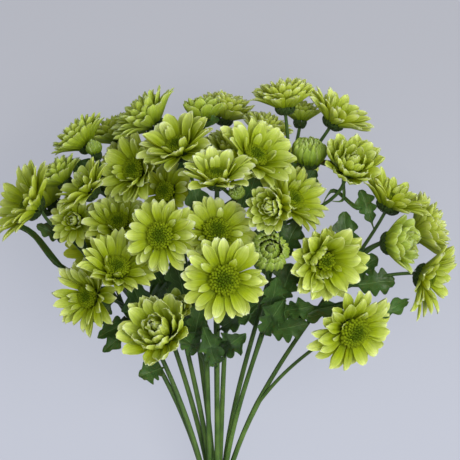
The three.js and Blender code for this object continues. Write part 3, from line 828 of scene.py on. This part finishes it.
def petal_master(name, ring, kind, hollow, end, notch, curl, sway):
    bend, hollow, end = ring.tip - ring.lift, hollow * kind.deeper, end * kind.blunter
    stations = [(0, 0.55), (0.24, 0.76), (0.48, 0.97), (0.66, 1.0), (0.86, 0.56 + 0.44 * end), (1, end)]
    hinges = [(place, bend * share + (curl / 2 if place > CURL_FROM else 0)) for place, share in PETAL_HINGES]
    piece = blade(name, (PETAL_FACE, PETAL_BACK), stations, 4, BLADE_THICKNESS, hinges,
                  (0.4 * hollow, 0.0, hollow), notch, sway=sway, rounding=TIP_ROUNDING)
    mark(piece, tone=0.5, green=0)
    return master(piece)


def floret_master(size):
    """A floret as a small cup that opens upwards. Its attribute depth is 1 where it stands proud, and 0 low
    down, where the disc's finish puts painted shade.
    """
    floret = add(bpy.ops.mesh.primitive_cone_add, "floret", (DISC,), vertices=6, radius1=size * 0.7,
                 radius2=size * 0.95, depth=size * 3)
    edit_mode(True)
    pick_faces(lambda normal: normal.z > 0.9)
    bpy.ops.mesh.inset(thickness=size * 0.45)
    move(0, 0, size * 0.5)
    bpy.ops.mesh.select_mode(type="VERT")
    edit_mode(False)
    smooth(floret)
    mark(floret, tone=0.5, opened=0, depth=0)
    proud = [1.0 if vertex.co.z > 0 else 0.0 for vertex in floret.data.vertices]
    floret.data.attributes["depth"].data.foreach_set("value", proud)
    return master(floret)


def disc_master(name, kind, seed):
    """The disc of a flower head, with radius 1: a low dome under a spiral of florets."""
    draw = random.Random(seed)
    dome = half_ball(name, DISC, 24, upper=True)
    edit_mode(True)
    select_whole_mesh()
    stretch(DOME_RADIUS, DOME_RADIUS, kind.rise)
    edit_mode(False)
    mark(dome, tone=0.5, opened=0.3, depth=0)

    size = 1.15 / math.sqrt(kind.florets)
    floret = floret_master(size)
    pieces = [dome]
    for k in range(kind.florets):
        out = math.sqrt((k + 0.5) / kind.florets)
        angle = k * GOLDEN_ANGLE + draw.uniform(-0.05, 0.05)
        lean = radians(LEAN + EDGE_LEAN * out ** 2)
        opened = min(1.0, max(0.0, out * 1.6 - 0.6 + draw.uniform(-0.15, 0.15)))
        height = kind.rise * math.sqrt(max(0, 1 - out ** 2)) + size * 0.35 * opened
        place = (Matrix.Rotation(angle, 4, "Z") @ Matrix.Translation((out * 0.95, 0, height))
                 @ Matrix.Rotation(lean, 4, "Y") @ Matrix.Rotation(draw.uniform(0, 6), 4, "Z")
                 @ Matrix.Scale(0.85 + 0.2 * opened, 4))
        pieces.append(copy_of(floret, place, tone=draw.random(), opened=opened))
    return master(joined(name, pieces))


# ---- Cups, leaves and stems ----

BRACT_STATIONS = [(0, 0.7), (0.35, 1.0), (0.7, 0.8), (1, 0.12)]
BRACT_HINGES = ((0.35, 14), (0.7, 12))
BRACT_WIDTH = 0.55
# Each ring of bracts on a cup: their number, their height on it and their length.
BRACT_RINGS = ((8, -0.88, 0.75), (11, -0.6, 0.8), (14, -0.25, 0.75))
CUP_SEED = 5

LEAF_ARCH = 0.06
LEAF_FOLD = (0, 0.04, 0.11)
LEAF_SLANT = 0.07
# The half waves in which a leaf sways over its length.
LEAF_SWAY_WAVES = 1.6
LEAF_STALK = [(0, 0.06), (0.16, 0.05)]
# Up to this place a leaf is its stalk, and lies flatter.
STALK_END = 0.22
# The place along the leaf of each pair of lobes, and how wide the leaf is there and between them.
LOBES = ((0.3, 0.7), (0.49, 0.96), (0.7, 1.1), (0.9, 0.6))
LOBE_GAP = 0.34
LEAF_TIP = (1, 0.16)
NARROW_LEAF = [(0, 0.2), (0.14, 0.25), (0.3, 0.5), (0.5, 0.85), (0.7, 0.75), (0.85, 0.62), (0.95, 0.35),
               (1, 0.12)]
# Leaves no wider than this are narrow ones.
NARROW_WIDTH = 10
NARROW_SWAYS = (1.3, -1.3)

RIBS = 5
GROOVE = 0.86
STEM_STEPS = 24
STALK_STEPS = 16
BUNDLE_STEPS = 6
# How much a stem swells round each fork, by the steps from it.
SWELLINGS = ((-1, 1.08), (0, 1.16), (1, 1.05))


def bract_master():
    return master(blade("bract", (BRACT,), BRACT_STATIONS, 2, 0.1, BRACT_HINGES, (0.0, -0.1)))


def calyx_master(bract):
    """The green cup under a flower head, with radius 1 and depth 1: a bowl with three rings of bracts."""
    draw = random.Random(CUP_SEED)
    bowl = half_ball("calyx", BRACT, 20, upper=False)
    smooth(bowl)
    pieces = [bowl]
    for count, height, length in BRACT_RINGS:
        radius = math.sqrt(1 - height ** 2)
        climb = math.atan2(radius, -height)
        for k in range(count):
            angle = (k + draw.uniform(-0.15, 0.15)) * math.tau / count + height * 3
            place = (Matrix.Rotation(angle, 4, "Z") @ Matrix.Translation((radius * 1.03, 0, height))
                     @ Matrix.Rotation(-climb, 4, "Y")
                     @ Matrix.Diagonal((length, BRACT_WIDTH, length, 1)))
            pieces.append(copy_of(bract, place))
    return master(joined("calyx", pieces))


def lobed_outline(draw):
    """A leaf's stalk and its lobes, as places with the width there."""
    stations = LEAF_STALK[:]
    for middle, width in LOBES:
        width *= draw.uniform(0.9, 1.12)
        stations += [(middle - 0.09, LOBE_GAP), (middle - 0.04, width), (middle + 0.04, width * 0.95)]
    return stations + [LEAF_TIP]


def leaf_master(name, stations, seed, sway=0.0):
    """A leaf from the origin to 1 on X, about 1 wide, arched, folded along its midrib and waved. It sways to
    one side and back by a share of its width."""
    piece = blade(name, (LEAF_FACE, LEAF_BACK), stations, 4, BLADE_THICKNESS, (), LEAF_FOLD, slant=LEAF_SLANT,
                  finer=1)
    waves = bpy.data.textures.new(name + "_waves", "CLOUDS")
    waves.noise_scale = 0.3
    deselect()
    piece.location = (seed, 0, 0)
    bpy.context.view_layer.update()
    apply_modifier(piece, "DISPLACE", texture=waves, texture_coords="GLOBAL", direction="Z",
                   strength=0.16, mid_level=0.5)
    piece.location = (0, 0, 0)
    for vertex in piece.data.vertices:
        along = vertex.co.x
        vertex.co.z += 4 * LEAF_ARCH * along * (1 - along)
        vertex.co.y += sway * math.sin(along * LEAF_SWAY_WAVES * math.pi)
        if along < STALK_END:
            vertex.co.z *= 0.3
    return master(piece)


def rib_profile():
    """The ribbed outline of a stem, as a curve with radius 1."""
    add(bpy.ops.mesh.primitive_circle_add, "rib_profile", (), vertices=3 * RIBS, radius=1)
    edit_mode(True)
    for k in range(RIBS):
        angle = math.tau * (0.25 + k / RIBS)
        groove = Vector((math.cos(angle), math.sin(angle), 0))
        pick(lambda co: (co - groove).length < 0.1)
        stretch(GROOVE, GROOVE, 1)
    edit_mode(False)
    bpy.ops.object.convert(target="CURVE")
    return master(bpy.context.object)


def bundle_point(spray, along, splay=1.0):
    """The middle of a stem in the bundle, so far from the waist along the axis."""
    other = ACROSS.cross(AXIS)
    return (WAIST + AXIS * along
            + ACROSS * math.cos(spray.slot) * spray.ring * splay
            + other * math.sin(spray.slot) * spray.ring * splay)


def calyx_of(bloom):
    """The foot and the seat of a flower head's green cup, and its radius."""
    seat = bloom.at - bloom.face * SEAT_GAP
    return seat - bloom.face * CUP_HEIGHT, seat, bloom.reach * KINDS[bloom.kind].core * CUP_SHARE


def bezier(a, b, c, d, t):
    s = 1 - t
    return a * s ** 3 + b * (3 * s * s * t) + c * (3 * s * t * t) + d * t ** 3


def stalk_line(start, direction, bloom, steps):
    """Points on the curve from a start to the foot of a flower head's cup."""
    foot = calyx_of(bloom)[0]
    length = (foot - start).length
    straight = (foot - start).normalized()
    leaving = direction.lerp(straight, FAN).normalized()
    arriving = bloom.face.lerp(straight, NOD).normalized()
    first = start + leaving * length * LEAVING_PULL
    second = bloom.by or foot - arriving * length * ARRIVING_PULL
    return [bezier(start, first, second, foot, k / steps) for k in range(steps + 1)]


def tapered(first, last, steps):
    return [first + (last - first) * k / steps for k in range(steps + 1)]


def tube(name, points, radii, profile):
    """A ribbed tube through the points."""
    deselect()
    bpy.ops.curve.primitive_nurbs_path_add(enter_editmode=False)
    line = bpy.context.object
    line.name = name
    line.data.splines.clear()
    spline = line.data.splines.new("POLY")
    spline.points.add(len(points) - 1)
    for spot, point, radius in zip(spline.points, points, radii):
        spot.co, spot.radius = (*point, 1), radius
    line.data.bevel_mode = "OBJECT"
    line.data.bevel_object = profile
    line.data.use_fill_caps = True
    line.data.materials.append(STEM)
    choose(line)
    bpy.ops.object.convert(target="MESH")
    made = bpy.context.object
    smooth(made, ROUND_ANGLE)
    return made


def park_miller(seed):
    """Repeatable draws in -1..1."""
    factor, modulus = 16807, 2 ** 31 - 1
    state = seed * 7919 + 17
    while True:
        state = state * factor % modulus
        yield state / modulus * 2 - 1


def leafy_stem(name, spray, index, profile, calyx, leaves, narrow_leaves):
    """One leafy stem with its stalks, its leaves and the cups under its flower heads, in one mesh."""
    first, *others = spray.blooms
    draw = random.Random(index + 1)
    cut = bundle_point(spray, -CUT_LENGTH + CUT_STAGGER * next(park_miller(index + 1)), CUT_SPLAY)
    waist = bundle_point(spray, 0)
    main = stalk_line(bundle_point(spray, STRAIGHT), AXIS, first, STEM_STEPS)
    before = [cut.lerp(waist, k / BUNDLE_STEPS) for k in range(BUNDLE_STEPS)] + [waist]
    radii = [STEM_RADIUS] * len(before) + tapered(STEM_RADIUS, STALK_RADIUS, STEM_STEPS)
    for bloom in others:
        knee = round(bloom.fork * STEM_STEPS)
        for away, swelling in SWELLINGS:
            radii[len(before) + min(knee + away, STEM_STEPS)] *= swelling
    pieces = [tube("stem", before + main, radii, profile)]
    lines = [main]
    for bloom in others:
        place = bloom.fork * STEM_STEPS
        k = min(int(place), STEM_STEPS - 1)
        fork = main[k].lerp(main[k + 1], place - k)
        line = stalk_line(fork, (main[k + 1] - main[k]).normalized(), bloom, STALK_STEPS)
        pieces.append(tube("stalk", line, tapered(FORK_RADIUS, STALK_RADIUS, STALK_STEPS), profile))
        lines.append(line)
    for bloom in spray.blooms:
        seat, radius = calyx_of(bloom)[1:]
        spin = Matrix.Rotation(draw.uniform(0, 6), 4, "Z")
        pieces.append(copy_of(calyx, Matrix.Translation(seat) @ upright_to(bloom.face) @ spin
                              @ Matrix.Diagonal((radius, radius, CUP_HEIGHT, 1))))
    for root, tip, width in spray.leaves:
        start = min((point for line in lines for point in line), key=lambda point: (point - root).length)
        along = (tip - start).normalized()
        above = (UP - along * UP.dot(along)).normalized()
        length = (tip - start).length
        facing = Matrix((along, above.cross(along), above)).transposed().to_4x4()
        shapes = narrow_leaves if width <= NARROW_WIDTH else leaves
        pieces.append(copy_of(draw.choice(shapes), Matrix.Translation(start) @ facing
                              @ Matrix.Rotation(draw.uniform(-0.3, 0.3), 4, "X")
                              @ Matrix.Diagonal((length, width, length, 1))))
    return joined(name, pieces, TO_FRAME)


# ---- Flower heads and band ----

# How far a petal scatters from its place: sideways as a share of the gap to the next one, in length and width
# as shares of them, in lift, in the height of its root, and in two turns in radians.
SPACING_SCATTER = 0.3
LENGTH_SCATTER = 0.11
WIDTH_SCATTER = 0.14
LIFT_SCATTER = 8
ROOT_SCATTER = 0.4
YAW_SCATTER = 0.13
ROLL_SCATTER = 0.3
# A head droops on one side by degrees between these.
DROOPS = (3, 11)
HEAD_TONES = 0.18
PETAL_TONES = 0.35
# The petals of a kind that scatters no more than this have one form.
ALIKE_BELOW = 0.5

BAND_SQUEEZE = 0.985
BAND_TILT = 1.2


def flower(name, bloom, seed, petals, discs):
    """One flower head: its disc, and its rings of petals from the outside in."""
    draw = random.Random(seed)
    kind = KINDS[bloom.kind]
    reach = bloom.reach
    facing = Matrix.Translation(bloom.at) @ upright_to(bloom.face)
    core = kind.core * reach
    top = ROOT_HEIGHT * (0.4 + RING_RISE * min(len(kind.rings), 3))
    pieces = [copy_of(discs[bloom.kind], facing @ Matrix.Translation((0, 0, top))
                      @ Matrix.Rotation(draw.uniform(0, 6), 4, "Z") @ Matrix.Scale(core * kind.disc, 4))]
    bloom_tone = draw.uniform(-HEAD_TONES, HEAD_TONES)
    low_side = draw.uniform(0, math.tau)
    droop = draw.uniform(*DROOPS) * kind.scatter

    def off(most):
        return draw.uniform(-most, most) * kind.scatter

    for row, ring in enumerate(kind.rings):
        height = ROOT_HEIGHT * (0.6 + RING_RISE * row)
        longest = reach - core * 0.95
        offset = draw.random()
        shapes = petals[ring] if kind.scatter > ALIKE_BELOW else petals[ring][:1]
        for k in range(ring.count):
            if ring.arc:
                share = draw.uniform(*ring.arc)
            else:
                share = (k + off(SPACING_SCATTER) + offset) / ring.count
            angle = share * math.tau
            length = longest * ring.length * (1 + off(LENGTH_SCATTER))
            rise = ring.lift + off(LIFT_SCATTER) - droop * math.cos(angle - low_side)
            place = (facing @ Matrix.Rotation(angle, 4, "Z")
                     @ Matrix.Translation((core * ring.root, 0, height + off(ROOT_SCATTER)))
                     @ Matrix.Rotation(off(YAW_SCATTER), 4, "Z")
                     @ Matrix.Rotation(-radians(rise), 4, "Y")
                     @ Matrix.Rotation(off(ROLL_SCATTER), 4, "X")
                     @ Matrix.Diagonal((length, ring.width * reach * (0.97 + off(WIDTH_SCATTER)), length, 1)))
            tone = min(1.0, max(0.0, 0.5 + bloom_tone + draw.uniform(-PETAL_TONES, PETAL_TONES)))
            pieces.append(copy_of(draw.choice(shapes), place, tone=tone,
                                  green=kind.green * draw.uniform(0.8, 1.2)))
    return joined(name, pieces, TO_FRAME)


def band(name):
    """The elastic: turns lying side by side round the stems, a little uneven."""
    inner = OUTER_RING + STEM_RADIUS + BAND_GAP
    facing = upright_to(AXIS)
    pieces = []
    for turn in range(BAND_TURNS):
        ring = add(bpy.ops.mesh.primitive_torus_add, "turn", (RUBBER,), major_segments=64, minor_segments=12,
                   major_radius=inner + BAND_THICKNESS / 2, minor_radius=BAND_THICKNESS / 2)
        edit_mode(True)
        select_whole_mesh()
        stretch(1, 1, BAND_STRAND / BAND_THICKNESS * 0.98)
        pick(lambda co: co.z > BAND_STRAND * 0.2)
        stretch(BAND_SQUEEZE, BAND_SQUEEZE, 1)
        edit_mode(False)
        from_middle = turn - (BAND_TURNS - 1) / 2
        ring.matrix_world = (Matrix.Translation(WAIST) @ facing
                             @ Matrix.Translation((0, 0, from_middle * BAND_STRAND))
                             @ Matrix.Rotation(radians(from_middle * BAND_TILT), 4, "X"))
        smooth(ring, ROUND_ANGLE)
        pieces.append(ring)
    return joined(name, pieces, TO_FRAME)


def press_flat(piece):
    """Squeezes what would reach below the surface into the last part of a millimetre above it."""
    layer = 0.3 * MM
    lowest = min(vertex.co.z for vertex in piece.data.vertices)
    if lowest < 0:
        for vertex in piece.data.vertices:
            if vertex.co.z < layer:
                vertex.co.z = layer * (vertex.co.z - lowest) / (layer - lowest)


def declare(piece, node):
    """Presses a finished piece flat onto the surface, hangs it on the root body, and hides the part of the
    node that it stands for.
    """
    press_flat(piece)
    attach(piece, "root")
    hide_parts(node)


petals = {ring: [petal_master(f"petal_{k}", ring, kind, **form) for k, form in enumerate(PETAL_FORMS)]
          for kind in KINDS.values() for ring in kind.rings}
discs = {name: disc_master("disc_" + name, kind, seed)
         for seed, (name, kind) in enumerate(KINDS.items(), DISC_SEED)}
leaves = [leaf_master(f"leaf_{k}", lobed_outline(random.Random(k + 1)), k + 1) for k in range(4)]
narrow_leaves = [leaf_master(f"narrow_leaf_{k}", NARROW_LEAF, k + 1, sway)
                 for k, sway in enumerate(NARROW_SWAYS)]
calyx = calyx_master(bract_master())
profile = rib_profile()

for index, spray in enumerate(SPRAYS):
    spray_name = f"spray_{index + 1:02d}"
    stem = leafy_stem(spray_name + "_greenery", spray, index, profile, calyx, leaves, narrow_leaves)
    declare(stem, spray_name + "_stem")
    for number, bloom in enumerate(spray.blooms, 1):
        head = flower(f"{spray_name}_flower_{number}", bloom, index * 10 + number, petals, discs)
        declare(head, f"{spray_name}_bloom_{number}")
declare(band("elastic_turns"), "elastic_band")

for piece in masters:
    bpy.data.objects.remove(piece)

# ---- Surface, light and camera ----

CAMERA_HEIGHT = 2.0
MIDDLE_HEIGHT = 0.1
PICTURE_WIDTH = 0.3082
PICTURE_MIDDLE = Vector((10, 168.8, 0))
SENSOR = 36
FAR_CLIP = 20

# The surface glows, paler at the foot of the picture: a painted fall of light. The change runs this far to
# both sides of the middle.
SURFACE_SIZE = 6
SHADE_REACH = 0.16
SURFACE_BASE = (0.05, 0.05, 0.052)
SURFACE_GLOW_FOOT = (0.475, 0.5, 0.585)
SURFACE_GLOW_HEAD = (0.375, 0.388, 0.441)

LIT_HEIGHT = 0.08
WARM_WHITE = (1, 0.99, 0.96)
COOL_WHITE = (0.98, 0.98, 1)
SKY = (0.93, 0.96, 1)
SKY_STRENGTH = 0.29

middle = SHIFT @ (PICTURE_MIDDLE * MM)

surface = add(bpy.ops.mesh.primitive_plane_add, "pale_surface", (), size=SURFACE_SIZE,
              location=(middle.x, middle.y, 0))
backing = Finish("pale_surface", Roughness=0.9)
up_the_picture = backing.parts(backing.object_place())[1]
share = backing.between(up_the_picture, middle.y - SHADE_REACH, middle.y + SHADE_REACH)
# Painted light: the surface's glow keeps the bunch's shadow faint, and is dimmer towards the head of the
# picture.
backing.set(Base_Color=SURFACE_BASE, Emission_Color=backing.mix(share, SURFACE_GLOW_FOOT, SURFACE_GLOW_HEAD),
            Emission_Strength=1)
surface.data.materials.append(backing.material)


def over(across, along, height):
    """A point over the surface, from the middle of the picture."""
    return (middle.x + across, middle.y + along, height)


def lamp(name, size, power, place, target, colour):
    bpy.ops.object.light_add(type="AREA", location=place)
    light = bpy.context.object
    light.name = name
    light.data.size, light.data.energy, light.data.color = size, power, colour
    light.rotation_mode = "QUATERNION"
    light.rotation_quaternion = (Vector(target) - Vector(place)).to_track_quat("-Z", "Y")


lamp("key", 0.8, 18.5, over(0.45, -0.02, 1.3), over(0, 0, LIT_HEIGHT), WARM_WHITE)
lamp("fill", 1.0, 5, over(-0.5, 0.3, 1.2), over(0, 0, LIT_HEIGHT), COOL_WHITE)
lamp("side", 0.6, 4, over(1.05, 0.2, 0.55), over(0.12, 0, LIT_HEIGHT), WHITE)

world = bpy.data.worlds.new("studio")
world.use_nodes = True
sky = world.node_tree.nodes["Background"]
sky.inputs["Color"].default_value = (*SKY, 1)
sky.inputs["Strength"].default_value = SKY_STRENGTH
bpy.context.scene.world = world

bpy.ops.object.camera_add(location=over(0, 0, CAMERA_HEIGHT), rotation=(0, 0, 0))
camera = bpy.context.object
camera.data.sensor_width = SENSOR
camera.data.lens = SENSOR * (CAMERA_HEIGHT - MIDDLE_HEIGHT) / PICTURE_WIDTH
camera.data.clip_end = FAR_CLIP
bpy.context.scene.camera = camera
bpy.context.scene.view_settings.view_transform = "Standard"
